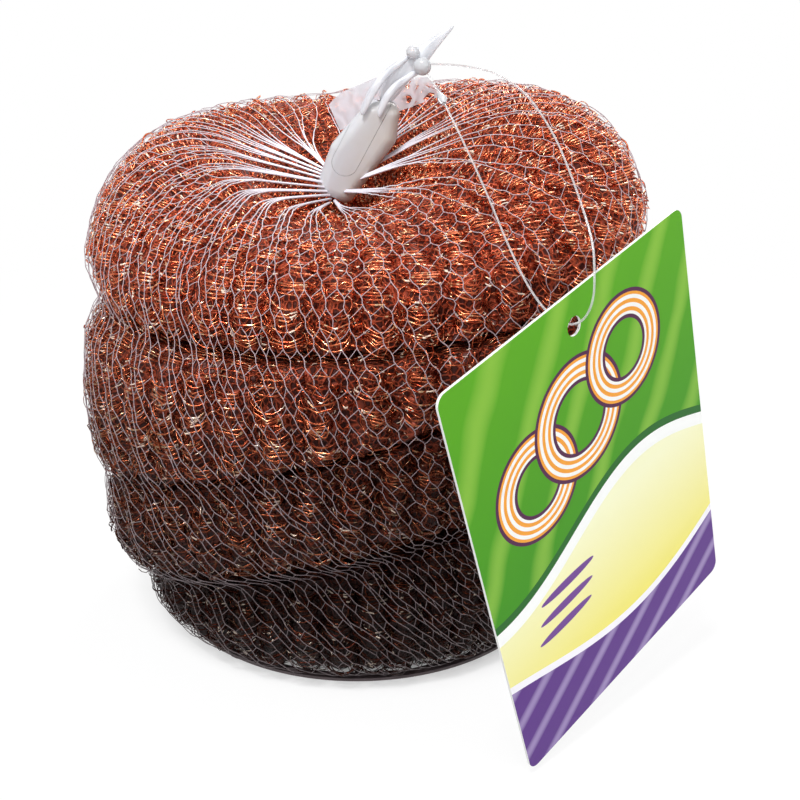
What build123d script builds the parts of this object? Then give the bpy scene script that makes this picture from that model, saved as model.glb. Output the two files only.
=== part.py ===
from build123d import *
from collections import namedtuple
from math import cos, hypot, pi, radians, sin, tan
import os

os.makedirs("parts", exist_ok=True)

# A retail pack of coil pot scrubbers. Four knitted copper scourers are squashed into a pile
# in a tube of net, which is gathered at the top in a moulded clip. A filament loop through
# the gathered end carries a printed card.
# The origin is on the floor under the pile's axis, +X to the right and -Y to the front.

# Driving dimensions, in millimetres

# The pile of scourers; the radius is measured in the valleys between the columns of loops
scourer_radius = 51.2
pile_height = 95.3
foot_radius = 36.0
seam_depth = 8.4
front_valley_depth = 9.5
back_valley_depth = 2.5
back_valley_heading = 95.0
loop_columns = 44
column_relief = 2.1
tuck_radius = 9.0
tuck_depth = 3.0

# The net bag
net_thickness = 0.6
net_clearance = 0.45
net_strands = 24
strand_width = 0.9
strand_thickness = 0.5
weld_radius = 6.0
weld_clearance = 0.3

# Where the net is gathered, and the bundle of strands there
gather_right = -6.0
gather_rise = 4.9
neck_radius = 2.6
neck_clearance = 0.3
net_seat = 0.1

# The moulded clip and its latch
clip_lean = 29.0
clip_length = 22.5
clip_width = 9.4
clip_thickness = 6.0
clip_corner_round = 2.4
clip_edge_round = 2.2
latch_width = 5.0
latch_thickness = 1.5
latch_clearance = 0.06
channel_width = 3.2
channel_thickness = 2.0

# The net's gathered end above the clip and its pressed edge behind it
film_clearance = 0.15
film_pleats = 7
film_length = 39.8
film_thickness = 0.4

# The filament loop and its lock; the lock's place is measured in the clip's frame
filament_diameter = 0.35
filament_sides = 8
lock_ball_diameter = 3.2
lock_socket_diameter = 2.4
lock_clearance = 0.2
lock_across = 2.6
lock_front = 2.6
lock_along = 30.4
barb_diameter = 1.8
barb_length = 3.2
barb_clearance = 0.08

# The printed card
card_width = 55.0
card_height = 75.0
card_thickness = 0.45
card_corner = 1.8
card_hole_diameter = 3.0
card_hole_inset = 5.2
card_heading = 43.7
card_turn = 18.2
card_hole_right = 31.4
card_hole_front = 61.3
card_hole_height = 75.7

# One overrun serves every cutter that passes right through
cut_overrun = 1.0

# Proportions

# Each scourer from the floor up: radius, shift to the right and shift to the back,
# as shares of the scourer radius
pile_shares = {
    "scourer_bottom": (0.85, -0.02, 0.01),
    "scourer_lower": (0.905, -0.075, -0.05),
    "scourer_upper": (1.0, -0.025, -0.02),
    "scourer_top": (1.0, 0.01, 0.05),
}
# The planes between the scourers from the floor up: height as a share of the pile's height,
# then the rise to the right and the rise to the back
seam_shares = (
    (0.0, 0.0, 0.0),
    (0.205, 0.24, -0.18),
    (0.485, 0.28, -0.06),
    (0.71, 0.07, 0.03),
    (1.0, 0.08, 0.1),
)
# How deep the notch at each plane is, and how far it is filled towards the front
seam_depth_shares = (1.0, 1.0, 0.35, 0.85, 1.0)
seam_fill_shares = (0.0, 0.0, 0.9, 0.9, 0.0)
fill_heading = -70.0
bulge_power_share = 2.4
# Stations up the side of a scourer, as shares of its height
side_shares = (0.0, 0.12, 0.5, 0.88, 1.0)
# Stations over the crown of the top scourer: radius, height, depth of the crown's valleys
# and how much of a column's relief points up
crown_shares = (
    (1.0, 0.36, 0.1, 0.0),
    (0.965, 0.6, 0.45, 0.35),
    (0.885, 0.81, 0.8, 0.6),
    (0.75, 0.95, 1.0, 0.75),
    (0.59, 1.0, 1.0, 0.59),
    (0.44, 0.95, 1.0, 0.44),
    (0.31, 0.8, 0.8, 0.28),
    (0.19, 0.56, 0.4, 0.1),
    (0.1, 0.34, 0.1, 0.0),
    (0.085, 0.28, 0.0, 0.0),
)
# How much of a strand's width overlaps its neighbour at a knot
knot_share = 0.35
# The strands run straight to the gather where they lie closer than this many widths
bunch_share = 3.0
# The corners of the clip's outline from its foot round to the right: shares of its half width
# and its length
clip_shares = (
    (-0.86, 0.03),
    (0.62, 0.06),
    (1.08, 0.72),
    (0.52, 1.02),
    (-0.62, 0.9),
    (-1.12, 0.44),
)
# The latch's lower end as a share of the clip's length, and its shift as a share of the width
latch_low_share = 0.38
latch_shift_share = 0.16
# The gathered film above the channel: distance along the clip, shift to the right,
# half width and half thickness, as shares of the film's length
film_shares = (
    (0.6, -0.012, 0.056, 0.032),
    (0.68, -0.008, 0.052, 0.026),
    (0.755, 0.03, 0.058, 0.022),
    (0.84, 0.048, 0.036, 0.014),
    (1.0, 0.112, 0.006, 0.005),
)
# How far the film's inner folds lie from its middle, as a share of the outer ones
pleat_share = 0.7
# The net's pressed edge behind the clip: shift to the right and distance along the clip,
# as shares of the clip's length
edge_shares = (
    (-0.22, 0.55),
    (0.15, 0.94),
    (0.38, 1.2),
    (0.35, 1.25),
    (0.21, 1.28),
    (0.1, 1.22),
    (-0.16, 1.07),
    (-0.36, 0.82),
    (-0.4, 0.69),
)
# The way from the lock's ball to its socket
socket_share = (-0.567, 0.2, 0.8)
# The filament's arcs take this share of the shorter run beside them
arc_share = 0.45

# One ring round the pile: its radius and place, how deep the valleys are there, how far
# the columns stand out and up, and how it is drawn to the seam's ring towards the front
Station = namedtuple("Station", "radius number lift centre valley relief rise fill fill_shift")


def level(number):
    """Height, rise to the right and rise to the back at a place between two seams."""
    lower = min(int(number), len(seam_shares) - 2)
    share = number - lower
    low, high = seam_shares[lower], seam_shares[lower + 1]
    height, right, back = (a + (b - a) * share for a, b in zip(low, high))
    return net_thickness + height * pile_height, right, back


def layer_place(number):
    """Radius and centre of the scourer at one place in the pile."""
    radius, right, back = (share * scourer_radius for share in list(pile_shares.values())[number])
    return radius, Vector(right, back, 0)


def plain_station(radius, number, centre, lift=0.0):
    """A ring without relief, as in a scourer's flat faces."""
    return Station(radius, number, lift, centre, 0.0, 0.0, 0.0, 0.0, Vector(0, 0, 0))


def side_station(number, share):
    """A ring at a share of a scourer's height: a rounded side between two seams."""
    radius, centre = layer_place(number)
    seam = number if share < side_shares[len(side_shares) // 2] else number + 1
    depth = seam_depth * seam_depth_shares[seam]
    if seam == 0:
        depth = radius - foot_radius
    away = abs(2 * share - 1)
    inset = 1 - (1 - away ** bulge_power_share) ** (1 / bulge_power_share)
    fill, fill_shift = 0.0, Vector(0, 0, 0)
    if 0 < seam < len(pile_shares):
        (radius_below, centre_below), (radius_above, centre_above) = layer_place(seam - 1), layer_place(seam)
        pull = seam_fill_shares[seam] * inset
        fill = pull * ((radius_below + radius_above) / 2 - radius + depth)
        fill_shift = ((centre_below + centre_above) / 2 - centre) * pull
    relief = radius / scourer_radius
    return Station(radius - depth * inset, number + share, 0.0, centre, 0.0, relief, 0.0, fill, fill_shift)


def ring_point(station, angle, relief=0.0):
    """A point on a station's ring, with a share of the columns' relief."""
    heading = Vector(cos(angle), sin(angle), 0)
    filled = (0.5 + 0.5 * cos(angle - radians(fill_heading))) ** 2
    out = station.radius + station.fill * filled + column_relief * relief * station.relief
    place = station.centre + station.fill_shift * filled + heading * out
    height, right, back = level(station.number)
    front_dip = front_valley_depth * max(0.0, -sin(angle)) ** 2
    back_dip = back_valley_depth * max(0.0, cos(angle - radians(back_valley_heading))) ** 4
    dip = station.valley * (front_dip + back_dip)
    up = station.lift + column_relief * relief * station.rise
    return Vector(place.X, place.Y, height + up + right * place.X + back * place.Y - dip)


def fluted_ring(station):
    """The corners of a ring with a ridge for each column of knitted loops."""
    lowest = net_thickness
    if station.radius > foot_radius:
        lowest += strand_width + strand_thickness
    corners = []
    for half in range(2 * loop_columns):
        point = ring_point(station, half * pi / loop_columns, half % 2)
        corners.append(Vector(point.X, point.Y, max(point.Z, lowest)))
    return corners


def skin(rings):
    """A solid round rings of as many corners each, in flat triangles, closed at both ends."""
    count = len(rings[0])
    faces = [Face(Wire.make_polygon(rings[0])), Face(Wire.make_polygon(rings[-1]))]
    for low, high in zip(rings, rings[1:]):
        for here in range(count):
            beside = (here + 1) % count
            for corners in ((low[here], low[beside], high[beside]), (low[here], high[beside], high[here])):
                faces.append(Face(Wire.make_polygon(corners)))
    return Solid(Shell(faces))


def crown_stations():
    """Stations from the widest place of the top scourer over its crown and down to the gather."""
    last = len(pile_shares) - 1
    radius, centre = layer_place(last)
    stations = []
    for radius_share, height_share, valley, rise in crown_shares:
        middle = Vector(centre.X + (gather_right - centre.X) * (1 - radius_share), centre.Y * radius_share, 0)
        relief = radius_share * (1 - rise)
        stations.append(Station(
            radius * radius_share, last + height_share, 0.0, middle, valley, relief, rise, 0.0, Vector(0, 0, 0)))
    return stations


def side_stations(number, shares):
    """Stations up the side of a scourer, as far as the crown where it is the top one."""
    if number == len(pile_shares) - 1:
        shares = [share for share in shares if share < crown_shares[0][1]]
    return [side_station(number, share) for share in shares]


def tuck_stations(number, share, way):
    """Stations of the tucked centre in a scourer's flat face."""
    centre = layer_place(number)[1]
    mouth = plain_station(tuck_radius, number + share, centre)
    floor = plain_station(tuck_radius / 2, number + share, centre, way * tuck_depth)
    return mouth, floor


def scourer(number):
    """One squashed scourer: fluted sides and a tucked centre in each flat face."""
    mouth, floor = tuck_stations(number, 0.0, 1)
    stations = [floor, mouth, *side_stations(number, side_shares)]
    if number == len(pile_shares) - 1:
        stations += crown_stations()
    else:
        stations += tuck_stations(number, 1.0, -1)
    return skin([fluted_ring(station) for station in stations])


def net_stations():
    """Stations that the net lies on, from the foot to the gather: it bridges the seams."""
    stations = [side_station(0, 0.0)]
    for number in range(len(pile_shares)):
        stations += side_stations(number, side_shares[1:-1])
    return stations + crown_stations()


def net_line(angle):
    """The net's points at one angle, lifted clear of the columns and square to the pile's profile."""
    stations = net_stations()
    heading = Vector(cos(angle), sin(angle), 0)
    points = [ring_point(station, angle) for station in stations]
    last = len(points) - 1
    line = []
    for place, station in enumerate(stations):
        reach = column_relief * (station.relief + station.rise) + net_clearance + strand_thickness / 2
        if place == 0:
            line.append(points[0] + heading * (reach + strand_thickness))
            continue
        run = points[min(place + 1, last)] - points[place - 1]
        along = run.dot(heading)
        outwards = heading * run.Z - Vector(0, 0, along)
        line.append(points[place] + outwards * (reach / hypot(run.Z, along)))
    return line


def net_strand(number):
    """One strand from the foot to the gather, leaning to a neighbour at each knot in turn."""
    step = 2 * pi / net_strands
    angle = number * step
    points = []
    for row, station in enumerate(net_stations()):
        pitch = step * station.radius
        lean = 0.0
        if pitch > bunch_share * strand_width:
            lean = step / 2 * (1 - (1 - knot_share) * strand_width / pitch)
        point = net_line(angle + lean * cos(pi * (row / 2 + number)))[row]
        lowest = net_thickness if row == 0 else net_thickness + strand_width / 2
        points.append(Vector(point.X, point.Y, max(point.Z, lowest)))
    path = Polyline(*points)
    across = Vector(-sin(angle), cos(angle), 0)
    section = Plane(origin=path @ 0, x_dir=across, z_dir=path % 0) * Rectangle(strand_width, strand_thickness)
    return sweep(section, path=path, transition=Transition.RIGHT)


def neck_foot_radius():
    """Radius of the bundle where the strands run into it, inside the dimple's lowest rings."""
    return crown_stations()[-2].radius


def gather_place():
    """The centre of the bundle's rounded end, above the dimple's floor."""
    height, right, back = level(len(pile_shares) - 1 + crown_shares[-1][1])
    return Vector(gather_right, 0, height + right * gather_right + gather_rise)


def net_bag():
    """The net round the sides and over the crown, its strands joined at the knots."""
    strands = [net_strand(number) for number in range(net_strands)]
    net = strands[0].fuse(*strands[1:])
    below = Pos(0, 0, net_thickness - pile_height / 2) * Box(4 * foot_radius, 4 * foot_radius, pile_height)
    hole = Pos(*gather_place()) * Cylinder(neck_foot_radius() + net_seat, pile_height / 2)
    return net - below - hole


def base_slot(near, far, angle, half_angle):
    """A tapered cutter for the gap between two strands under the pile."""
    corners = []
    for reach, turn in ((near, -1), (far, -1), (far, 1), (near, 1)):
        spread = half_angle - strand_width / 2 / reach
        corners.append((reach * cos(angle + turn * spread), reach * sin(angle + turn * spread)))
    slot = extrude(make_face(Polyline(*corners, close=True)), amount=net_thickness + 2 * cut_overrun)
    return Pos(0, 0, -cut_overrun) * slot


def net_base():
    """The net under the pile, drawn in to a weld at its middle."""
    radius = foot_radius + column_relief + net_clearance + 2 * strand_thickness
    middle = (weld_radius + radius) / 2
    disc = Cylinder(radius, net_thickness, align=(Align.CENTER, Align.CENTER, Align.MIN))
    disc -= Cylinder(weld_radius, 2 * pile_height)
    slots = []
    count = net_strands // 2
    for slot in range(count):
        angle = (slot + 0.5) * 2 * pi / count
        slots.append(base_slot(weld_radius + strand_width, middle - strand_width / 2, angle, pi / count))
    for slot in range(net_strands):
        angle = (slot + 0.5) * 2 * pi / net_strands
        far = radius - 2 * strand_width
        slots.append(base_slot(middle + strand_width / 2, far, angle, pi / net_strands))
    return Pos(*layer_place(0)[1]) * (disc - slots)


def net_weld():
    """The melted button that closes the net under the pile, up in the bottom scourer's tuck."""
    rise = net_thickness + tuck_depth - weld_clearance
    top_radius = tuck_radius / 2 - weld_clearance
    profile = make_face(Polyline(
        (0, 0), (weld_radius, 0), (weld_radius, net_thickness), (top_radius, rise), (0, rise), close=True))
    return Pos(*layer_place(0)[1]) * revolve(Plane.XZ * profile, Axis.Z)


def net_neck():
    """The bundle of strands that rises from the gather, with a rounded end for the clip."""
    rest = crown_stations()[-2]
    rim = [ring_point(rest, side * 2 * pi / net_strands).Z for side in range(net_strands)]
    floor = max(rim) + net_seat
    reach = neck_foot_radius()
    end = gather_place().Z
    profile = make_face([
        Line((0, floor), (reach, floor)),
        Line((reach, floor), (neck_radius, end)),
        ThreePointArc(
            (neck_radius, end),
            (neck_radius * cos(pi / 4), end + neck_radius * sin(pi / 4)),
            (0, end + neck_radius)),
        Line((0, end + neck_radius), (0, floor)),
    ])
    return Pos(gather_right, 0, 0) * revolve(Plane.XZ * profile, Axis.Z)


# The clip's own frame: origin at the centre of the neck's rounded end, Z up along the clip
clip_frame = Plane(
    origin=gather_place(),
    x_dir=(cos(radians(clip_lean)), 0, -sin(radians(clip_lean))),
    z_dir=(sin(radians(clip_lean)), 0, cos(radians(clip_lean))),
)


def clip_blank():
    """The clip as one closed lump: a thumb that bends to the right, its edges rounded."""
    corners = [(across * clip_width / 2, along * clip_length) for across, along in clip_shares]
    outline = make_face(FilletPolyline(*corners, radius=clip_corner_round, close=True))
    blank = extrude(Plane.XZ * outline, amount=clip_thickness / 2, both=True)
    rims = blank.faces().sort_by(Axis.Y)
    return fillet(rims[0].edges() + rims[-1].edges(), clip_edge_round)


def latch_outline(clearance):
    """The latch's front view, a tongue with a round lower end."""
    half = latch_width / 2 - clearance
    low = clip_length * latch_low_share
    top = 2 * clip_length
    return make_face([
        ThreePointArc((-half, low), (0, low - half), (half, low)),
        Line((half, low), (half, top)),
        Line((half, top), (-half, top)),
        Line((-half, top), (-half, low)),
    ])


def latch_slab(clearance):
    """The room that the latch takes in the clip's front."""
    shift = Pos(-clip_width * latch_shift_share, -clip_thickness / 2 + latch_thickness - clearance, 0)
    return shift * extrude(Plane.XZ * latch_outline(clearance), amount=clip_thickness)


def clip_body():
    """The clip's body with its socket, the channel for the net and the latch's recess."""
    blank = clip_blank()
    socket = Sphere(neck_radius + neck_clearance)
    channel = Pos(0, 0, clip_length) * Box(channel_width, channel_thickness, 2 * clip_length)
    channel = fillet(channel.edges().filter_by(Axis.Z), channel_thickness / 2 - film_clearance)
    return clip_frame * (blank - socket - channel - latch_slab(0.0))


def clip_latch():
    """The latch tongue that is pressed into the clip's front and stays shut."""
    return clip_frame * (clip_blank() & latch_slab(latch_clearance))


def pleated_section(along, right, width, depth):
    """The film's section: an oval whose every second corner is a fold drawn inwards."""
    corners = []
    for corner in range(2 * film_pleats):
        angle = corner * pi / film_pleats
        reach = 1.0 if corner % 2 == 0 else pleat_share
        corners.append((right + reach * width * cos(angle), reach * depth * sin(angle)))
    outline = Polyline(*corners, close=True)
    return Wire((Plane.XY.offset(along) * outline).edges())


def net_tail():
    """The gathered end of the net: pinched in the clip, fanned above it, cut to a point."""
    half_width = channel_width / 2 - film_clearance
    half_thickness = channel_thickness / 2 - film_clearance
    low = neck_radius + 2 * neck_clearance
    sections = [(low, 0.0, half_width, half_thickness), (clip_length, 0.0, half_width, half_thickness)]
    for row in film_shares:
        sections.append([share * film_length for share in row])
    wires = [pleated_section(*section) for section in sections]
    return clip_frame * Solid.make_loft(wires, ruled=True)


def net_edge():
    """The net's end, pressed to a film that stands up behind the clip."""
    corners = [(across * clip_length, along * clip_length) for across, along in edge_shares]
    sheet = extrude(Plane.XZ * make_face(Polyline(*corners, close=True)), amount=-film_thickness)
    return clip_frame * (Pos(0, clip_thickness / 2 + film_clearance, 0) * sheet)


# The card hangs on its hole, its face turned to the right and its width turned about the hole
card_normal = Vector(sin(radians(card_heading)), -cos(radians(card_heading)), 0)
card_level = Vector(cos(radians(card_heading)), sin(radians(card_heading)), 0)
card_hole = Vector(card_hole_right, -card_hole_front, card_hole_height)
card_across = card_level * cos(radians(card_turn)) + Vector(0, 0, sin(radians(card_turn)))
card_frame = Plane(origin=card_hole, x_dir=card_across, z_dir=card_normal)


def tag_card():
    """The printed card with rounded corners and a punched hole at its top."""
    sheet = Pos(0, card_hole_inset - card_height / 2) * RectangleRounded(card_width, card_height, card_corner)
    sheet -= Circle(card_hole_diameter / 2)
    return card_frame * extrude(sheet, amount=card_thickness / 2, both=True)


# The lock's ball sits beside the film, where both ends of the filament meet
lock_ball_at = clip_frame.from_local_coords(Vector(lock_across, -lock_front, lock_along))
socket_reach = (lock_ball_diameter + lock_socket_diameter) / 2 + lock_clearance
lock_socket_at = lock_ball_at + Vector(*socket_share).normalized() * socket_reach

# The filament's route from the ball, over the crown, through the card's hole from the front
# and straight back over the pile's shoulder to the ball
loop_points = [
    (12.6, -3.05, 106.25),
    (20.4, -5.6, 106.4),
    (28.0, -12.4, 103.4),
    (32.3, -23.5, 97.3),
    (33.9, -34.5, 92.4),
    (34.6, -45.5, 88.6),
    (34.5, -55.6, 86.2),
    (33.7, -62.7, 84.3),
    (33.8, -63.3, 79.9),
    (32.6, -62.4, 76.5),
    (30.4, -60.1, 75.4),
    (28.2, -57.2, 76.3),
    (25.7, -51.6, 79.0),
    (23.3, -43.0, 83.6),
    (20.5, -32.2, 89.8),
    (17.6, -21.6, 95.3),
    (15.1, -12.8, 99.8),
    (13.5, -7.7, 102.4),
    (12.0, -3.9, 104.6),
]


def loop_path():
    """Straight runs joined by arcs as large as the runs allow."""
    corners = [Vector(*point) for point in loop_points]
    radii = []
    for before, here, after in zip(corners, corners[1:], corners[2:]):
        turn = radians((here - before).get_angle(after - here))
        shorter = min((here - before).length, (after - here).length)
        radii.append(arc_share * shorter / tan(turn / 2))
    print("filament radii", [round(radius, 1) for radius in radii])
    return FilletPolyline(*corners, radius=radii)


def tag_loop():
    """The filament loop as one tube."""
    path = loop_path()
    section = Plane(origin=path @ 0, z_dir=path % 0) * RegularPolygon(filament_diameter / 2, filament_sides)
    tube = sweep(section, path=path)
    print("filament length", round(path.length, 2), "tube volume", round(tube.volume, 3),
          "section times length", round(section.area * path.length, 3))
    return tube


def lock_barb():
    """The arrow-shaped barb moulded round the filament, on the run before its last one."""
    start, end = (Vector(*point) for point in loop_points[-3:-1])
    bore = filament_diameter / 2 + barb_clearance
    tip = filament_diameter
    profile = make_face(Polyline(
        (bore, -barb_length / 2), (tip, -barb_length / 2), (barb_diameter / 2, -barb_length / 6),
        (tip, barb_length / 2), (bore, barb_length / 2), close=True))
    return Plane(origin=(start + end) / 2, z_dir=end - start) * revolve(Plane.XZ * profile, Axis.Z)


def write(name, shape):
    """Write one piece to its own file."""
    shape.label = name
    export_step(shape, f"parts/{name}.step")


for place, scourer_name in enumerate(pile_shares):
    write(scourer_name, scourer(place))
write("net_bag", net_bag())
write("net_base", net_base())
write("net_weld", net_weld())
write("net_neck", net_neck())
write("net_tail", net_tail())
write("net_edge", net_edge())
write("clip_body", clip_body())
write("clip_latch", clip_latch())
write("tag_card", tag_card())
write("tag_loop", tag_loop())
write("lock_barb", lock_barb())
write("lock_ball", Pos(*lock_ball_at) * Sphere(lock_ball_diameter / 2))
write("lock_socket", Pos(*lock_socket_at) * Sphere(lock_socket_diameter / 2))
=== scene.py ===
"""The look of a net pack of copper coil pot scrubbers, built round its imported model."""
import math
import random

import bmesh
import bpy
import numpy as np
from mathutils import Matrix, Vector
from mathutils.bvhtree import BVHTree


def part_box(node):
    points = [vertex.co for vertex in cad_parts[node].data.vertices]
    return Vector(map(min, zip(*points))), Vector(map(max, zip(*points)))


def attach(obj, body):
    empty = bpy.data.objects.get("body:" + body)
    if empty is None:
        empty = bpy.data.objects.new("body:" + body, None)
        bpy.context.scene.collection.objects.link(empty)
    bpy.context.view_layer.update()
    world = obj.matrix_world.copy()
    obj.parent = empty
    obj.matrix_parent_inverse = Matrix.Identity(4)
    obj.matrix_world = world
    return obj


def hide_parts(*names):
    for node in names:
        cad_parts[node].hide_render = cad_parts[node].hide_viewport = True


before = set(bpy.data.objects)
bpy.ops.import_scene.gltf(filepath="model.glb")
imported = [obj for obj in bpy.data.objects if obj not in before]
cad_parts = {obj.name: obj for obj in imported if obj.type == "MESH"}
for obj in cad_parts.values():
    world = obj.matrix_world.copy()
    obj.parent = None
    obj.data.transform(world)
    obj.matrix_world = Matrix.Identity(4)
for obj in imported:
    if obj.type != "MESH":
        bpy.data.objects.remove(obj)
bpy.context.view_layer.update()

# Sizes, in metres

# The scourers' wire and its coils
coil_columns = 44
coil_half_width = 0.0028
coil_half_depth = 0.0019
coil_pitch = 0.00082
coil_sag = 0.0017
turn_steps = 9
ribbon_width = 0.00032
ribbon_thickness = 0.00012
stitch_length = 0.0050
coil_room_share = 0.46
coil_least_depth_share = 0.35
stitch_bunching = 0.78
side_shift = 0.0005
core_inset = 0.0012
filler_half_width = 0.0012
filler_half_depth = 0.0009
filler_inset = 0.0007
filler_pitch = 0.0016
filler_steps = 7
stray_loops = 2600
stray_radius = 0.0017
stray_points = 12
stray_turn_share = 0.93
stray_sunk_share = 0.35
stray_clear = 0.009
column_rays = 56
ray_reach = 0.2

# Waves along a coil, in radians a metre
slow_wave = 700
quick_wave = 2900
shift_wave = 450
sag_wave = 300
tilt_wave = 900

# The net
net_strands = 80
net_strand_radius = 0.00008
net_link_radius = 0.00006
net_rows = 86
net_length = 0.19
net_step = 0.001
longest_link = 0.007
gathered_width = 2.3
net_twist = 1.5
net_gap = 0.0003
net_lean_share = 0.17
net_bridge_share = 0.3
gather_point = Vector((-0.006, 0.0, 0.0804646))
gather_radius = 0.0018
gather_reach = 0.015
bunch_reach = 0.034
front_bunch_reach = 0.066
unlinked_reach = 0.024
foot_radius = 0.036
foot_height = 0.0009
pile_middle = Vector((-0.006, 0.0, 0.045))
foot_elevation = math.atan2(foot_height - pile_middle.z, foot_radius)
top_elevation = math.radians(84)
profile_rays = 90
outline_step = 0.0005
outline_points = 150
side_rise = 0.0045
back_rise = 0.002
seams_end = math.radians(25)
crown_start = math.radians(40)
crowding = 0.55
crowded_heading = math.radians(240)
front_bunch_heading = math.radians(258)

# The clip's lean to the right, and the ways across it and along it
clip_lean = math.radians(29)
clip_right = Vector((math.cos(clip_lean), 0, -math.sin(clip_lean)))
clip_up = Vector((math.sin(clip_lean), 0, math.cos(clip_lean)))

# The filament
filament_diameter = 0.00035

# Where the camera stands, from the photograph
camera_place = Vector((0.007, -0.21307, 0.12423))
camera_down = math.radians(21.5)
camera_lens = 50.7
camera_sensor = 36.0

SCOURERS = ("scourer_bottom", "scourer_lower", "scourer_upper", "scourer_top")


# Shader writing

def grey(level):
    """One level as a colour."""
    return (level, level, level)


class Value:
    """One socket of a shader, with the operators that build Math nodes."""

    def __init__(self, paint, socket):
        self.paint = paint
        self.socket = socket

    def _math(self, operation, *others):
        return self.paint.node("ShaderNodeMath", {"operation": operation}, [self, *others])

    def __add__(self, other):
        return self._math("ADD", other)

    def __radd__(self, other):
        return self._math("ADD", other)

    def __sub__(self, other):
        return self._math("SUBTRACT", other)

    def __rsub__(self, other):
        return self.paint.node("ShaderNodeMath", {"operation": "SUBTRACT"}, [other, self])

    def __mul__(self, other):
        return self._math("MULTIPLY", other)

    def __rmul__(self, other):
        return self._math("MULTIPLY", other)

    def __truediv__(self, other):
        return self._math("DIVIDE", other)

    def __gt__(self, other):
        return self._math("GREATER_THAN", other)

    def __lt__(self, other):
        return self._math("LESS_THAN", other)

    def sine(self):
        return self._math("SINE")

    def wave(self):
        """The sine, from 0 to 1."""
        return self.sine() * 0.5 + 0.5

    def power(self, exponent):
        return self._math("POWER", exponent)

    def larger(self, other):
        return self._math("MAXIMUM", other)


class Paint:
    """One material and the nodes that make it."""

    def __init__(self, name):
        self.material = bpy.data.materials.new(name)
        self.material.use_nodes = True
        self.tree = self.material.node_tree
        self.shader = self.tree.nodes["Principled BSDF"]

    def node(self, kind, settings=None, inputs=(), output=0):
        """A node of a type, with its settings and its sockets' values or links."""
        made = self.tree.nodes.new(kind)
        for name, value in (settings or {}).items():
            if name == "stops":
                ramp = made.color_ramp
                while len(ramp.elements) < len(value):
                    ramp.elements.new(0.5)
                for element, (place, colour) in zip(ramp.elements, value):
                    element.position = place
                    element.color = (*colour, 1.0)
            else:
                setattr(made, name, value)
        pairs = inputs.items() if isinstance(inputs, dict) else enumerate(inputs)
        for key, value in pairs:
            self.feed(made.inputs[key], value)
        return Value(self, made.outputs[output])

    def feed(self, socket, value):
        if isinstance(value, Value):
            self.tree.links.new(value.socket, socket)
        elif isinstance(value, (tuple, list)) and len(value) == 3 and socket.type == "RGBA":
            socket.default_value = (*value, 1.0)
        else:
            socket.default_value = value

    def set(self, **sockets):
        """Values or links for the surface shader's own sockets, underscores for spaces."""
        for name, value in sockets.items():
            self.feed(self.shader.inputs[name.replace("_", " ")], value)

    def place(self):
        """The piece's own coordinates."""
        return self.node("ShaderNodeTexCoord", output="Object")

    def mix(self, share, low, high):
        return self.node("ShaderNodeMix", {"data_type": "RGBA"}, {0: share, 6: low, 7: high}, output=2)

    def noise(self, scale, detail=2.0):
        inputs = {"Vector": self.place(), "Scale": scale, "Detail": detail}
        return self.node("ShaderNodeTexNoise", {}, inputs)

    def cells(self, scale):
        """Distance to the nearest edge of a pattern of cells."""
        inputs = {"Vector": self.place(), "Scale": scale}
        return self.node("ShaderNodeTexVoronoi", {"feature": "DISTANCE_TO_EDGE"}, inputs)

    def fade(self, share, start, end):
        """From 0 to 1 while a value runs from a start to an end."""
        return self.ramp(share, ((start, grey(0)), (end, grey(1))))

    def ramp(self, share, stops):
        return self.node("ShaderNodeValToRGB", {"stops": stops}, [share])

    def dot(self, point, direction):
        return self.node("ShaderNodeVectorMath", {"operation": "DOT_PRODUCT"}, [point, direction], output=1)

    def bump(self, height, strength, distance):
        return self.node("ShaderNodeBump", {}, {"Strength": strength, "Distance": distance, "Height": height})


def height_share(paint):
    """The height on the pile, from 0 at the foot to 1 at a tenth of a metre."""
    return paint.dot(paint.place(), (0, 0, 1)) * 10.0


def shade_by_height(paint):
    """From 0 to 1 up the pile: the lower layers stand in the shade of the upper ones."""
    stops = ((0.03, grey(0.015)), (0.2, grey(0.05)), (0.45, grey(0.26)), (0.8, grey(1)))
    return paint.ramp(height_share(paint), stops)


def copper(name, bright, dark, sparkle_gold):
    """Copper-plated wire, darker and redder lower down the pile with painted shade, with gold patches of
    painted sparkle and a few pale painted glints.
    """
    paint = Paint(name)
    patch = paint.fade(paint.noise(500.0), 0.36, 0.6)
    # Gold patches of painted sparkle, at random over the wire.
    painted_sparkle = paint.noise(1000.0, 1.0) > 0.63
    colour = paint.mix(painted_sparkle, paint.mix(patch, dark, bright), sparkle_gold)
    # Painted shade: the wire darkens towards near black lower down the pile.
    lit = shade_by_height(paint)
    colour = paint.mix(lit, (0.015, 0.003, 0.002), colour)
    # Pale painted glints in the base colour, fewer where the painted shade lies lower down.
    painted_glint = (paint.noise(600.0, 1.0) > 0.665) * (lit * 0.7 + 0.3)
    paint.set(Base_Color=paint.mix(painted_glint, colour, (1.0, 0.86, 0.70)), Metallic=1.0 - painted_glint)
    paint.set(Roughness=paint.noise(1500.0, 1.0) * 0.3 + 0.1)
    return paint.material


def copper_core(name, bright, dark):
    """The tangle inside a scourer, seen between the coils: pale wires on a dark ground of painted shade,
    darker still lower down the pile with painted shade.
    """
    paint = Paint(name)
    wires = paint.ramp(paint.cells(900.0), ((0.03, grey(1)), (0.2, grey(0))))
    # The dark ground between the wires is painted shade deep in the knit.
    colour = paint.mix(wires, dark, bright)
    # Painted shade: darker lower down the pile.
    colour = paint.mix(shade_by_height(paint), (0.004, 0.001, 0.001), colour)
    paint.set(Base_Color=colour, Metallic=0.6, Roughness=0.5)
    paint.set(Normal=paint.bump(wires, 0.8, 0.0006))
    return paint.material


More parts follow.
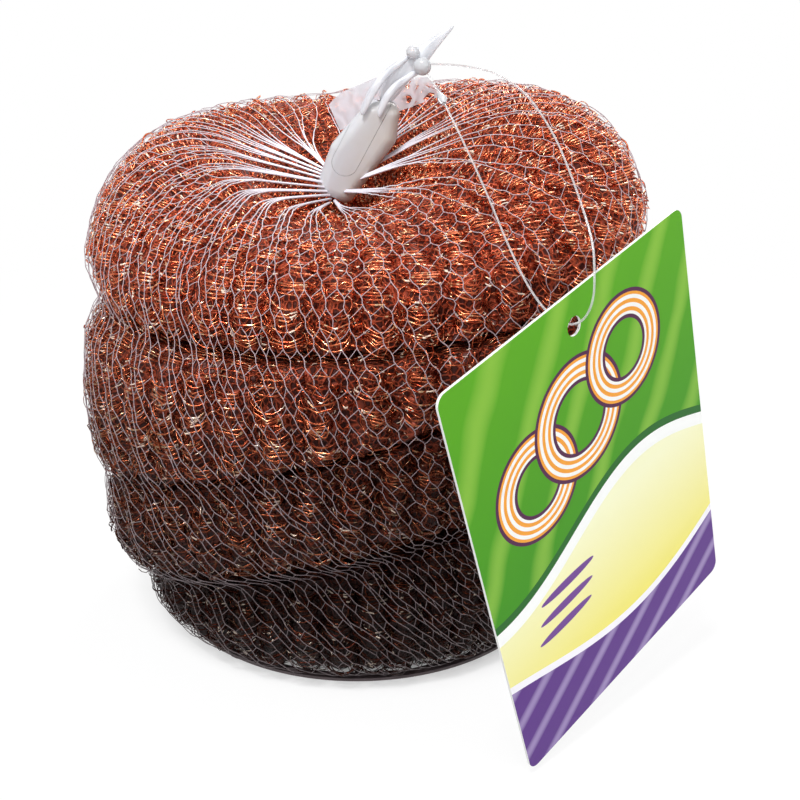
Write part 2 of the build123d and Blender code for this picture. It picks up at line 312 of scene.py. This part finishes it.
def net_plastic():
    """The net's soft plastic: white at the gather, lilac grey where it lies over the copper, and darker lower
    down the pile with painted shade.
    """
    paint = Paint("net plastic")
    lilac = paint.mix(paint.noise(400.0), (0.36, 0.26, 0.28), (0.58, 0.46, 0.50))
    # Painted shade: the net darkens lower down the pile.
    lit = paint.ramp(height_share(paint), ((0.05, grey(0.14)), (0.4, grey(0.45)), (0.75, grey(1))))
    lilac = paint.mix(lit, (0.05, 0.035, 0.035), lilac)
    ends = [paint.place(), tuple(gather_point)]
    away = paint.node("ShaderNodeVectorMath", {"operation": "DISTANCE"}, ends, output=1)
    near = paint.ramp(away * 1000.0 / 60.0, ((0.25, grey(1)), (0.75, grey(0))))
    paint.set(Base_Color=paint.mix(near, lilac, (0.84, 0.82, 0.90)), Roughness=0.35)
    return paint.material


def film_plastic():
    """The pressed end of the net: milky, see-through plastic with soft streaks."""
    paint = Paint("pressed film")
    across = paint.dot(paint.place(), (math.cos(clip_lean), 0.5, -math.sin(clip_lean)))
    streak = (across * 2600.0 + paint.noise(160.0) * 5.0).wave()
    paint.set(Base_Color=paint.mix(streak, (0.68, 0.70, 0.75), (0.82, 0.84, 0.88)), Roughness=0.22)
    paint.set(Alpha=streak * 0.18 + 0.62)
    return paint.material


def edge_film():
    """The net's pressed edge: thin film, with open mesh towards its right end."""
    paint = Paint("pressed edge")
    streak = (paint.dot(paint.place(), (1, 0, 0.25)) * 2600.0 + paint.noise(220.0, 3.0) * 16.0).wave()
    closed = paint.dot(paint.place(), (1, 0, 0)) * 1000.0 < paint.noise(300.0) * 8.0
    solid = (paint.cells(420.0) < 0.16).larger(closed)
    paint.set(Base_Color=paint.mix(streak, (0.80, 0.785, 0.83), (0.86, 0.85, 0.90)), Roughness=0.35)
    paint.set(Alpha=solid * (streak * 0.1 + 0.55))
    return paint.material


def clip_plastic():
    """Glossy off-white moulding with painted shade in a cream tint down its right side, and a faint wave in
    its surface.
    """
    paint = Paint("clip plastic")
    across = paint.dot(paint.place(), tuple(clip_right)) * 1000.0
    # Painted shade down the clip's right side, in a cream tint.
    painted_side_shade = paint.fade(across / 16.0 + 2.9 + paint.noise(160.0) * 0.5, 0.2, 0.8)
    paint.set(Base_Color=paint.mix(painted_side_shade, (0.61, 0.62, 0.645), (0.52, 0.455, 0.385)))
    paint.set(Roughness=paint.noise(400.0) * 0.12 + 0.16, Subsurface_Weight=0.25)
    paint.set(Subsurface_Radius=(0.002, 0.002, 0.0015), Coat_Weight=0.3)
    paint.set(Normal=paint.bump(paint.noise(250.0), 0.2, 0.0004))
    return paint.material


def nylon(name, tint, alpha):
    """Clear nylon of the filament and its lock."""
    paint = Paint(name)
    tone = paint.noise(800.0)
    paint.set(Base_Color=paint.mix(tone, tint, (0.88, 0.89, 0.91)), Roughness=0.12)
    paint.set(Transmission_Weight=0.4, IOR=1.5, Alpha=alpha)
    return paint.material


# Meshes

def add_piece(name, data):
    """A new piece of the scene from a mesh, a curve, a light or a camera."""
    piece = bpy.data.objects.new(name, data)
    bpy.context.scene.collection.objects.link(piece)
    return piece


def made_mesh(name, merged, material):
    """The mesh of a form that operators made, in one material."""
    mesh = bpy.data.meshes.new(name)
    merged.to_mesh(mesh)
    merged.free()
    mesh.materials.append(material)
    return mesh


def ribbon_piece(name, parts, material):
    """A piece of turning ribbons, which no operator makes."""
    vertices, faces = join_parts(parts)
    mesh = bpy.data.meshes.new(name)
    mesh.from_pydata(vertices, [], faces)
    mesh.materials.append(material)
    mesh.shade_smooth()
    return add_piece(name, mesh)


def tree_of(names):
    """One search tree over the solids of some nodes."""
    vertices, polygons = [], []
    for name in names:
        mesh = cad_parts[name].data
        start = len(vertices)
        vertices += [vertex.co.copy() for vertex in mesh.vertices]
        polygons += [[start + index for index in polygon.vertices] for polygon in mesh.polygons]
    return BVHTree.FromPolygons(vertices, polygons)


def outermost(tree, centre, way):
    """The farthest surface point from a centre in one way."""
    return tree.ray_cast(centre + way * ray_reach, -way, ray_reach)[0]


def resample(points, step):
    """Points an even step apart along a line, as an array."""
    points = np.array(points)
    runs = np.linalg.norm(np.diff(points, axis=0), axis=1)
    along = np.concatenate([[0.0], np.cumsum(runs)])
    count = max(2, int(along[-1] / step))
    even = np.linspace(0.0, along[-1], count + 1)
    return np.stack([np.interp(even, along, points[:, axis]) for axis in range(points.shape[1])], axis=1)


def sweep_ribbon(centres, wide, inward):
    """Vertices and faces of a closed ribbon: a flat outer face and a low ridge inside."""
    count = len(centres)
    corners = np.stack([centres - wide, centres + inward, centres + wide], 1)
    size = corners.shape[1]
    first = np.arange(count - 1)[:, None] * size
    sides = []
    for corner in range(size):
        beside = (corner + 1) % size
        here, there = first + corner, first + beside
        sides.append(np.concatenate([here, there, there + size, here + size], 1))
    last = (count - 1) * size
    caps = [tuple(range(size))[::-1], tuple(range(last, last + size))]
    return corners.reshape(-1, 3), [tuple(face) for face in np.concatenate(sides).tolist()] + caps


def unit(rows):
    """Rows of vectors at length one."""
    return rows / np.linalg.norm(rows, axis=1)[:, None]


def any_phase(rng):
    """A start for a wave, anywhere in its turn."""
    return rng.uniform(0, 6)


def coil(line, sideways, widest, deepest, pitch, steps, rng):
    """One ribbon wound round a line just under a scourer's surface, its turns bunched in stitches."""
    line = resample(line, pitch / steps)
    tangent = unit(np.gradient(line, axis=0))
    side = unit(sideways[None, :] - tangent * (tangent @ sideways)[:, None])
    outward = np.cross(side, tangent)
    along = np.arange(len(line)) * pitch / steps
    reach = np.hypot(line[:, 0] - gather_point.x, line[:, 1] - gather_point.y)
    room = np.minimum(1.0, 2 * math.pi * reach / coil_columns * coil_room_share / coil_half_width)
    stitch = 2 * math.pi / (stitch_length * rng.uniform(0.9, 1.1))
    turns = along / pitch + stitch_bunching * np.sin(along * stitch + any_phase(rng)) / (stitch * pitch)
    angle = 2 * math.pi * turns + any_phase(rng)
    slow_wander = 0.12 * np.sin(along * slow_wave + any_phase(rng))
    quick_wander = 0.1 * np.sin(along * quick_wave + any_phase(rng))
    wander = 1 + slow_wander + quick_wander
    half_width = widest * room * wander
    half_depth = deepest * (coil_least_depth_share + (1 - coil_least_depth_share) * room) * wander
    round_side = np.cos(angle)[:, None] * side
    round_out = np.sin(angle)[:, None] * outward
    shift = side * (side_shift * room * np.sin(along * shift_wave + any_phase(rng)))[:, None]
    uneven = 1 + 0.5 * np.sin(along * sag_wave + any_phase(rng))
    sag = coil_sag * uneven * room * np.maximum(0.0, np.sin(angle))
    centres = line + shift + round_side * half_width[:, None] + round_out * half_depth[:, None]
    centres = centres - tangent * sag[:, None]
    radial = unit(round_side + round_out)
    tilt = 0.35 * np.sin(angle * 0.5 + along * tilt_wave)[:, None]
    wide = unit(tangent + radial * tilt) * -ribbon_width / 2
    return sweep_ribbon(centres, wide, -radial * ribbon_thickness)


def way_out(angle, elevation):
    """The way at an angle round the upright and an elevation above the level."""
    level = math.cos(elevation)
    return Vector((math.cos(angle) * level, math.sin(angle) * level, math.sin(elevation)))


def around(angle):
    """The level way that runs round the upright at an angle, as an array."""
    return np.array((-math.sin(angle), math.cos(angle), 0.0))


def column_line(tree, centre, angle, low, high, inset):
    """A line over a scourer's surface at one angle round it, an inset below the surface."""
    points = []
    for elevation in np.linspace(low, high, column_rays):
        point = outermost(tree, centre, way_out(angle, elevation))
        if point is not None:
            points.append(np.array(point))
    smooth = np.array(points)
    for _ in range(3):
        smooth[1:-1] = (smooth[:-2] + smooth[1:-1] * 2 + smooth[2:]) / 4
    tangent = unit(np.gradient(smooth, axis=0))
    outward = np.cross(around(angle)[None, :], tangent)
    flip = np.sign(np.sum(outward * (smooth - np.array(centre)), axis=1))[:, None]
    return smooth - outward * flip * inset


def join_parts(parts):
    """Several swept ribbons as one list of vertices and faces."""
    vertices, faces, start = [], [], 0
    for part_vertices, part_faces in parts:
        vertices += part_vertices.tolist()
        faces += [tuple(start + corner for corner in face) for face in part_faces]
        start += len(part_vertices)
    return vertices, faces


def scourer_centre(name):
    """A point inside a scourer from which its whole surface is seen."""
    low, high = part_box(name)
    rise = 0.2 if name == "scourer_top" else 0.42
    return Vector(((low[0] + high[0]) / 2, (low[1] + high[1]) / 2, low[2] + (high[2] - low[2]) * rise))


def column_coil(tree, centre, angle, low, high, inset, size, rng):
    """The coil of one column, from its half width, half depth, pitch and steps a turn."""
    line = column_line(tree, centre, angle, low, high, inset)
    return coil(line, around(angle), *size, rng)


def coil_piece(name, label, columns, low, high, materials, seed):
    """The coils of some of a scourer's columns, between two elevations seen from its middle."""
    rng = random.Random(seed)
    tree = tree_of([name])
    centre = scourer_centre(name)
    coil_size = (coil_half_width, coil_half_depth, coil_pitch, turn_steps)
    filler_size = (filler_half_width, filler_half_depth, filler_pitch, filler_steps)
    column_parts, filler_parts = [], []
    for column in columns:
        angle = 2 * math.pi * (column + 0.5 + rng.uniform(-0.12, 0.12)) / coil_columns
        between = 2 * math.pi * column / coil_columns
        column_parts.append(column_coil(tree, centre, angle, low, high, coil_half_depth, coil_size, rng))
        filler_parts.append(column_coil(tree, centre, between, low, high, filler_inset, filler_size, rng))
    kinds = (("coils", column_parts, materials[0]), ("fillers", filler_parts, materials[1]))
    for suffix, parts, material in kinds:
        piece = ribbon_piece(f"{label}_{suffix}", parts, material)
        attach(piece, "pack")


def stray_piece(material):
    """Loose loops of wire that stand a little out of the knit."""
    rng = random.Random(90)
    tree = tree_of(SCOURERS)
    parts = []
    turn = np.linspace(0.0, 2 * math.pi * stray_turn_share, stray_points)
    while len(parts) < stray_loops:
        angle, elevation = rng.uniform(0, 2 * math.pi), math.asin(rng.uniform(-0.65, 0.97))
        out = way_out(angle, elevation)
        spot, normal = tree.ray_cast(pile_middle + out * ray_reach, -out, ray_reach)[:2]
        if spot is None or (spot - gather_point).length < stray_clear:
            continue
        level = Vector((0, 0, 1)).cross(normal)
        if level.length < 0.2:
            level = Vector((1, 0, 0)).cross(normal)
        level = (level.normalized() + normal * rng.uniform(-0.4, 0.4)).normalized()
        upright = (normal.cross(level) + normal * rng.uniform(-0.5, 0.5)).normalized()
        radius = stray_radius * rng.uniform(0.55, 1.25)
        angles = turn + any_phase(rng)
        ways = np.cos(angles)[:, None] * np.array(level) + np.sin(angles)[:, None] * np.array(upright)
        centres = np.array(spot) - np.array(normal) * radius * stray_sunk_share + ways * radius
        wide = unit(np.array(normal)[None, :] + ways * rng.uniform(-0.8, 0.8)) * ribbon_width / 2
        parts.append(sweep_ribbon(centres, wide, unit(ways) * -ribbon_thickness))
    piece = ribbon_piece("stray_loops", parts, material)
    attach(piece, "pack")


def core_piece(name, material):
    """The tangle inside a scourer: its solid, drawn in."""
    merged = bmesh.new()
    merged.from_mesh(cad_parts[name].data)
    bmesh.ops.remove_doubles(merged, verts=merged.verts, dist=0.00001)
    piece = add_piece(name + "_core", made_mesh(name + "_core", merged, material))
    inwards = piece.modifiers.new("inwards", "DISPLACE")
    inwards.mid_level = 0.0
    inwards.strength = -core_inset
    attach(piece, "pack")
    return piece


wire = copper("copper wire", (1.0, 0.29, 0.13), (0.45, 0.065, 0.028), (1.0, 0.64, 0.38))
# A darker copy of the wire for the fillers between the columns: painted shade between the coils.
shaded_wire = copper("shaded copper wire", (0.7, 0.14, 0.055), (0.28, 0.04, 0.015), (0.95, 0.5, 0.26))
tangle = copper_core("copper tangle", (0.50, 0.085, 0.034), (0.06, 0.007, 0.0035))
side_low, side_high = math.radians(-26), math.radians(26)
crown_low, crown_high = math.radians(17), math.radians(84)
finishes = (wire, shaded_wire)
for number, scourer in enumerate(SCOURERS):
    core = core_piece(scourer, tangle)
    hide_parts(scourer)
    high = side_high
    if scourer == "scourer_top":
        high = crown_low
        for half in range(2):
            columns = range(half, coil_columns, 2)
            coil_piece(scourer, f"crown_{half}", columns, crown_low, crown_high, finishes, 50 + half)
    for half in range(2):
        columns = range(half, coil_columns, 2)
        seed = number * 2 + half
        coil_piece(scourer, f"{scourer}_{half}", columns, side_low, high, finishes, seed)
stray_piece(wire)


# The net

def half_plane_profile(tree, angle):
    """The pile's elevations and distances in the half plane at one angle, over the nearest ridges."""
    elevations = np.linspace(foot_elevation, top_elevation, profile_rays)
    distances = []
    for elevation in elevations:
        farthest = 0.0
        for beside in (-0.5, 0.0, 0.5):
            near = angle + beside * 2 * math.pi / coil_columns
            point = outermost(tree, pile_middle, way_out(near, elevation))
            if point is not None:
                farthest = max(farthest, (point - pile_middle).length)
        distances.append(farthest)
    return elevations, np.array(distances)


def hull_chain(points):
    """The convex outline of points in a half plane, from the lowest round to the gather."""
    def turn(a, b, c):
        return (b[0] - a[0]) * (c[1] - a[1]) - (b[1] - a[1]) * (c[0] - a[0])
    chain = []
    for point in sorted(points, key=lambda pair: math.atan2(pair[1] - pile_middle.z, pair[0])):
        while len(chain) > 1 and turn(chain[-2], chain[-1], point) <= 0:
            chain.pop()
        chain.append(point)
    return chain


def net_meridian(tree, angle):
    """One line of the net from the foot over the pile to the gather: it dips a little into the seams."""
    elevations, distances = half_plane_profile(tree, angle)
    distances[0] = math.hypot(foot_radius, foot_height - pile_middle.z)
    rise = side_rise * abs(math.cos(angle)) + back_rise * max(0.0, math.sin(angle))
    heights = pile_middle.z + distances * np.sin(elevations)
    top = (gather_radius, gather_point.z + rise)
    profile = list(zip(distances * np.cos(elevations), heights))
    taut = resample(hull_chain(profile + [top]), outline_step)
    taut_elevations = np.arctan2(taut[:, 1] - pile_middle.z, taut[:, 0])
    every = np.linspace(foot_elevation, taut_elevations[-1], outline_points)
    taut_distances = np.interp(every, taut_elevations, np.hypot(taut[:, 0], taut[:, 1] - pile_middle.z))
    slack_distances = np.interp(every, elevations, distances)
    share = np.interp(every, (seams_end, crown_start), (net_bridge_share, 1.0))
    distance = slack_distances + (taut_distances - slack_distances) * share
    distance = np.maximum(distance, slack_distances) + net_gap
    for _ in range(2):
        distance[1:-1] = (distance[:-2] + distance[1:-1] * 2 + distance[2:]) / 4
    reach = distance * np.cos(every)
    height = np.maximum(pile_middle.z + distance * np.sin(every), foot_height)
    shift = rise * math.tan(clip_lean) * np.maximum(0.0, 1 - reach / gather_reach)
    right = gather_point.x + reach * math.cos(angle) + shift
    back = gather_point.y + reach * math.sin(angle)
    return np.stack([right, back, height], axis=1)


# The bundles that the strands run into at the clip, in degrees from the right
bundle_angles = (2, 35, 78, 118, 152, 170, 186, 203, 217, 229, 239, 248, 257, 266, 278, 301, 331)


def turn_between(goal, start):
    """The shorter turn from one angle to another."""
    return (goal - start + math.pi) % (2 * math.pi) - math.pi


def strand_angle(number, share, wobble):
    """The way in which one strand lies from the gather, at a share of its length from the foot."""
    even = 2 * math.pi * (number + wobble) / net_strands
    angle = even - crowding * math.sin(even - crowded_heading)
    nearest = min(bundle_angles, key=lambda way: abs(turn_between(math.radians(way), angle)))
    away = turn_between(math.radians(nearest), angle)
    return angle + away * (0.8 + 0.6 * wobble) * bunching(share, angle) + net_twist * (1 - share) ** 2.5


def bunching(share, angle):
    """How far the strands are drawn into bundles, at a share of the length from the foot."""
    frontward = max(0.0, math.cos(angle - front_bunch_heading)) ** 2
    reach = bunch_reach + (front_bunch_reach - bunch_reach) * frontward
    pull = min(1.0, max(0.0, 1.25 * (1 - (1 - share) * net_length / reach)))
    return pull * pull * (3 - 2 * pull)


def past_unlinked(share):
    """How far a strand is past the stretch at the gather that has no links, in lengths of that stretch."""
    return (1 - share) * net_length / unlinked_reach - 1


def net_curve(name, radius, material):
    """An empty curve of a net thread's thickness."""
    curve = bpy.data.curves.new(name, "CURVE")
    curve.dimensions = "3D"
    curve.bevel_depth = radius
    curve.bevel_resolution = 0
    curve.resolution_u = 2
    curve.use_fill_caps = True
    curve.materials.append(material)
    return curve


def add_spline(curve, points, widths=None):
    """One smooth spline drawn by some points."""
    spline = curve.splines.new("NURBS")
    spline.points.add(len(points) - 1)
    for number, (spot, point) in enumerate(zip(spline.points, points)):
        spot.co = (*point, 1.0)
        spot.radius = widths[number] if widths else 1.0
    spline.order_u = 3
    spline.use_endpoint_u = True


def net_pieces(material):
    """The net: long strands that sway to their neighbours in turn, and the short links between them."""
    tree = tree_of(SCOURERS)
    rng = random.Random(7)
    grid = 120
    meridians = [resample(net_meridian(tree, 2 * math.pi * k / grid), net_step) for k in range(grid)]

    def surface(angle, share):
        place = (angle / (2 * math.pi) * grid) % grid
        first = int(place)
        pair = []
        for line in (meridians[first % grid], meridians[(first + 1) % grid]):
            spot = share * (len(line) - 1)
            below = min(int(spot), len(line) - 2)
            pair.append(line[below] + (line[below + 1] - line[below]) * (spot - below))
        return pair[0] * (1 - place + first) + pair[1] * (place - first)

    curve = net_curve("net_strands", net_strand_radius, material)
    links = net_curve("net_links", net_link_radius, material)
    wobbles = [rng.uniform(-0.25, 0.25) for _ in range(net_strands)]
    phases = [any_phase(rng) for _ in range(net_strands)]
    strands = []
    for strand in range(net_strands):
        points, widths = [], []
        way = 2 * math.pi * strand / net_strands
        for row in range(net_rows + 1):
            share = row / net_rows
            free = 1 - bunching(share, way)
            widths.append(gathered_width - (gathered_width - 1) * free)
            linked = min(1.0, max(0.0, past_unlinked(share))) * free
            here, beside = (strand_angle(strand + side, share, wobbles[(strand + side) % net_strands])
                            for side in (0, 1 if row % 2 == 0 else -1))
            sway = net_lean_share * rng.uniform(0.5, 1.4) * turn_between(beside, here) * linked
            drift = 0.16 * math.sin(row * 0.3 + phases[strand]) * abs(turn_between(beside, here)) * free
            points.append(surface(here + sway + drift, share + rng.uniform(-0.15, 0.15) / net_rows * free))
        strands.append(points)
        add_spline(curve, points, widths)
    for strand in range(net_strands):
        beside = strands[(strand + 1) % net_strands]
        for row in range(2, net_rows, 2):
            share = row / net_rows
            clear = past_unlinked(share) - 1.5 * bunching(share, 2 * math.pi * strand / net_strands)
            if rng.random() < min(0.92, clear):
                start, end = (line[spot] * 0.75 + (line[spot - 1] + line[spot + 1]) * 0.125
                              for line, spot in ((strands[strand], row), (beside, row + 1)))
                bend = np.array([0, 0, rng.uniform(-0.0005, 0.0002)])
                if np.linalg.norm(end - start) < longest_link:
                    add_spline(links, [start, (start + end) / 2 + bend, end])
    pieces = []
    for piece_curve in (curve, links):
        piece = add_piece(piece_curve.name, piece_curve)
        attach(piece, "pack")
        pieces.append(piece)
    return pieces


net_material = net_plastic()
strands_piece = net_pieces(net_material)[0]
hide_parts("net_bag", "net_neck")


# The pieces that keep their modelled shape

def dress(node, material):
    """Gives a modelled piece its finish."""
    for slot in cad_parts[node].material_slots:
        slot.material = material


# The net's gathered end above the clip, in millimetres in the clip's frame

def from_clip(across, back, along):
    """A point in the clip's frame, whose origin is the gather and whose length leans to the right."""
    return gather_point + (clip_right * across + Vector((0, back, 0)) + clip_up * along) * 0.001


# Each row: across, back and along the clip, then half the width and half the depth
spear_rows = (
    (-0.4, 0.0, 21.0, 1.2, 0.7),
    (-0.6, -0.6, 24.0, 2.2, 0.9),
    (-0.3, -0.9, 26.5, 2.2, 0.8),
    (0.6, -1.0, 29.0, 2.1, 0.9),
    (1.4, -1.0, 31.0, 1.9, 0.8),
    (1.9, -0.9, 33.0, 1.5, 0.6),
    (3.0, -0.8, 36.2, 0.9, 0.4),
    (4.3, -0.7, 39.2, 0.2, 0.15),
)
left_fold_rows = (
    (-2.9, -3.4, 17.6, 0.5, 0.3),
    (-3.2, -3.4, 20.0, 0.8, 0.4),
    (-3.2, -3.0, 23.0, 0.85, 0.45),
    (-2.5, -2.3, 26.0, 0.8, 0.45),
    (-1.2, -1.6, 29.0, 0.7, 0.5),
    (0.0, -1.2, 31.0, 0.5, 0.4),
)
right_fold_rows = (
    (0.0, -3.5, 18.8, 0.45, 0.3),
    (-0.5, -3.5, 21.0, 0.75, 0.4),
    (-0.4, -3.2, 23.5, 0.8, 0.45),
    (0.5, -2.5, 26.3, 0.8, 0.5),
    (2.0, -1.8, 28.6, 0.7, 0.5),
    (3.0, -1.3, 30.0, 0.45, 0.4),
)


def tail_piece(material):
    """The spear of pressed net and its two folds over the clip's top."""
    merged = bmesh.new()
    from_the_right = Matrix.Rotation(-math.pi / 2, 4, "Z")
    for rows in (spear_rows, left_fold_rows, right_fold_rows):
        below = []
        for row, (across, back, along, half_width, half_depth) in enumerate(rows):
            axes = (clip_right * half_width * 0.001, Vector((0, half_depth * 0.001, 0)), clip_up)
            stretch = Matrix(axes).transposed().to_4x4() @ from_the_right
            matrix = Matrix.Translation(from_clip(across, back, along)) @ stretch
            capped = row in (0, len(rows) - 1)
            ring = bmesh.ops.create_circle(merged, cap_ends=capped, segments=10, radius=1, matrix=matrix)
            edges = list(dict.fromkeys(edge for vert in ring["verts"] for edge in vert.link_edges))
            if below:
                bmesh.ops.bridge_loops(merged, edges=below + edges)
            below = edges
    bmesh.ops.recalc_face_normals(merged, faces=merged.faces)
    mesh = made_mesh("tail", merged, material)
    mesh.shade_smooth()
    piece = add_piece("tail", mesh)
    smooth = piece.modifiers.new("smooth", "SUBSURF")
    smooth.levels = smooth.render_levels = 2
    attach(piece, "clip")
    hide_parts("net_tail")


clip_material = clip_plastic()
clear = nylon("clear nylon", (0.72, 0.74, 0.77), 1.0)
thread = nylon("nylon filament", (0.60, 0.58, 0.58), 0.6)
tail_piece(film_plastic())
dress("net_base", net_material)
dress("net_weld", net_material)
dress("net_edge", edge_film())
dress("clip_body", clip_material)
dress("clip_latch", clip_material)
dress("lock_ball", clear)
dress("lock_socket", clear)
dress("lock_barb", clear)


# The filament: the same points as the modelled route, in metres
filament_points = [
    (0.0126, -0.00305, 0.10625),
    (0.0204, -0.0056, 0.1064),
    (0.0280, -0.0124, 0.1034),
    (0.0323, -0.0235, 0.0973),
    (0.0339, -0.0345, 0.0924),
    (0.0346, -0.0455, 0.0886),
    (0.0345, -0.0556, 0.0862),
    (0.0337, -0.0627, 0.0843),
    (0.0338, -0.0633, 0.0799),
    (0.0326, -0.0624, 0.0765),
    (0.0304, -0.0601, 0.0754),
    (0.0282, -0.0572, 0.0763),
    (0.0257, -0.0516, 0.0790),
    (0.0233, -0.0430, 0.0836),
    (0.0205, -0.0322, 0.0898),
    (0.0176, -0.0216, 0.0953),
    (0.0151, -0.0128, 0.0998),
    (0.0135, -0.0077, 0.1024),
    (0.0120, -0.0039, 0.1046),
]


def filament_piece(material):
    curve = bpy.data.curves.new("filament", "CURVE")
    curve.dimensions = "3D"
    curve.bevel_depth = filament_diameter / 2
    curve.bevel_resolution = 2
    curve.resolution_u = 12
    curve.use_fill_caps = True
    add_spline(curve, filament_points)
    curve.materials.append(material)
    piece = add_piece("filament", curve)
    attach(piece, "loop")
    return piece


filament = filament_piece(thread)
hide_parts("tag_loop")


# The card

# The card's place in metres, at its hole, and its print in millimetres from its foot
card_heading = math.radians(43.7)
card_turn = math.radians(18.2)
card_hole = Vector((0.0314, -0.0613, 0.0757))
card_hole_up = 69.8
card_rings = ((-13.0, 50.0, 7.0), (-2.0, 55.0, 8.0), (10.0, 60.0, 7.0))
card_bars = (22.0, 25.5, 29.0)


def card_print():
    """A glossy printed card: a green field with coil rings, waves of white and yellow, a violet foot."""
    paint = Paint("printed card")
    level = Vector((math.cos(card_heading), math.sin(card_heading), 0))
    face = Vector((math.sin(card_heading), -math.cos(card_heading), 0))
    across = level * math.cos(card_turn) + Vector((0, 0, math.sin(card_turn)))
    upward = face.cross(across)
    place = paint.place()
    u = (paint.dot(place, tuple(across)) - across.dot(card_hole)) * 1000.0
    v = (paint.dot(place, tuple(upward)) - upward.dot(card_hole)) * 1000.0 + card_hole_up

    beams = paint.fade((u * 0.5 - v * 0.32 + paint.noise(40.0) * 4.0).wave(), 0.55, 1.0)
    green = paint.mix(paint.fade(v / 80.0, 0.4, 0.95), (0.045, 0.28, 0.006), (0.11, 0.40, 0.012))
    green = paint.mix(beams * 0.45, green, (0.40, 0.66, 0.09))
    yellow = paint.mix(paint.fade(v / 40.0, 0.2, 0.9), (0.88, 0.78, 0.10), (0.93, 0.93, 0.62))
    shine = paint.fade((u * 0.5 - v * 0.9).wave(), 0.6, 1.0)
    violet = paint.mix(shine * 0.5, (0.11, 0.035, 0.24), (0.55, 0.45, 0.72))

    border = v - (u * 0.09 + 0.7).sine() * 5.0
    colour = paint.mix(border > 34.0, yellow, (0.95, 0.96, 0.94))
    colour = paint.mix(border > 36.5, colour, (0.02, 0.14, 0.02))
    colour = paint.mix(border > 38.0, colour, green)
    for number, low in enumerate(card_bars):
        bar = ((v - low) * 2.0).power(2.0) + (u + 13.0 - number).power(2.0) * 0.06 < 2.6
        colour = paint.mix(bar, colour, (0.17, 0.06, 0.30))
    for right, up, radius in card_rings:
        ring = ((u - right).power(2.0) + (v - up).power(2.0)).power(0.5) - radius
        stripes = paint.mix((ring * 5.0).sine() > 0.0, (0.93, 0.93, 0.9), (0.9, 0.36, 0.04))
        colour = paint.mix(ring.power(2.0) < 5.5, colour, (0.09, 0.02, 0.07))
        colour = paint.mix(ring.power(2.0) < 3.0, colour, stripes)
    foot = v + (u * 0.06 + 1.2).sine() * 6.0
    colour = paint.mix(foot < 17.5, colour, (0.93, 0.9, 0.96))
    colour = paint.mix(foot < 16.0, colour, violet)

    normal = paint.node("ShaderNodeNewGeometry", output="Normal")
    front = paint.dot(normal, tuple(face)) > 0.7
    paint.set(Base_Color=paint.mix(front, (0.74, 0.74, 0.73), colour))
    paint.set(Roughness=paint.noise(500.0) * 0.08 + 0.3, Specular_IOR_Level=0.12)
    return paint.material


dress("tag_card", card_print())


# The stage

def seen_white(nodes, links):
    """A value of 1 for the rays that should find the background white."""
    path = nodes.new("ShaderNodeLightPath")
    value = path.outputs["Is Camera Ray"]
    for kind in ("Is Glossy Ray", "Is Transmission Ray"):
        either = nodes.new("ShaderNodeMath")
        either.operation = "MAXIMUM"
        links.new(value, either.inputs[0])
        links.new(path.outputs[kind], either.inputs[1])
        value = either.outputs[0]
    return value


def floor_material():
    """White ground that keeps a faint shadow near the pack."""
    paint = Paint("floor")
    paint.set(Base_Color=(0.9, 0.9, 0.9), Roughness=0.9)
    nodes, links = paint.tree.nodes, paint.tree.links
    away = paint.node("ShaderNodeVectorMath", {"operation": "LENGTH"}, [paint.place()], output=1)
    stops = ((0.064, grey(0)), (0.09, grey(0.84)), (0.6, grey(1)))
    share = paint.ramp(away / 0.5, stops) * Value(paint, seen_white(nodes, links))
    white = nodes.new("ShaderNodeEmission")
    mix = nodes.new("ShaderNodeMixShader")
    links.new(share.socket, mix.inputs[0])
    links.new(paint.shader.outputs[0], mix.inputs[1])
    links.new(white.outputs[0], mix.inputs[2])
    links.new(mix.outputs[0], nodes["Material Output"].inputs["Surface"])
    return paint.material


def floor_piece():
    merged = bmesh.new()
    bmesh.ops.create_grid(merged, x_segments=1, y_segments=1, size=3.0)
    piece = add_piece("floor", made_mesh("floor", merged, floor_material()))


def world_light(strength):
    """Soft light from all round, white where it is looked at."""
    world = bpy.data.worlds.new("studio")
    bpy.context.scene.world = world
    world.use_nodes = True
    nodes, links = world.node_tree.nodes, world.node_tree.links
    back = nodes["Background"]
    white = nodes.new("ShaderNodeBackground")
    mix = nodes.new("ShaderNodeMixShader")
    back.inputs["Color"].default_value = (0.95, 0.97, 1.0, 1.0)
    back.inputs["Strength"].default_value = strength
    white.inputs["Strength"].default_value = 1.0
    white.inputs["Color"].default_value = (1, 1, 1, 1)
    links.new(seen_white(nodes, links), mix.inputs[0])
    links.new(back.outputs[0], mix.inputs[1])
    links.new(white.outputs[0], mix.inputs[2])
    links.new(mix.outputs[0], nodes["World Output"].inputs["Surface"])


def lamp(name, place, target, size, power):
    light = bpy.data.lights.new(name, "AREA")
    light.size = size
    light.energy = power
    piece = add_piece(name, light)
    piece.location = place
    piece.rotation_euler = (Vector(target) - Vector(place)).to_track_quat("-Z", "Y").to_euler()


floor_piece()
world_light(0.33)
middle = (0, 0, 0.05)
lamp("key", (-0.14, -0.30, 0.78), middle, 0.16, 5.2)
lamp("sparkle", (-0.15, -0.55, 0.5), middle, 0.06, 1.1)
lamp("fill", (0.6, -0.5, 0.35), middle, 0.3, 1.0)
lamp("back", (0.2, 0.6, 0.5), middle, 0.25, 2.4)


def photograph_camera():
    camera = bpy.data.cameras.new("camera")
    camera.lens = camera_lens
    camera.sensor_width = camera_sensor
    camera.clip_start = 0.01
    piece = add_piece("camera", camera)
    piece.location = camera_place
    piece.rotation_euler = (math.radians(90) - camera_down, 0, 0)
    bpy.context.scene.camera = piece


photograph_camera()
bpy.context.scene.view_settings.view_transform = "Standard"
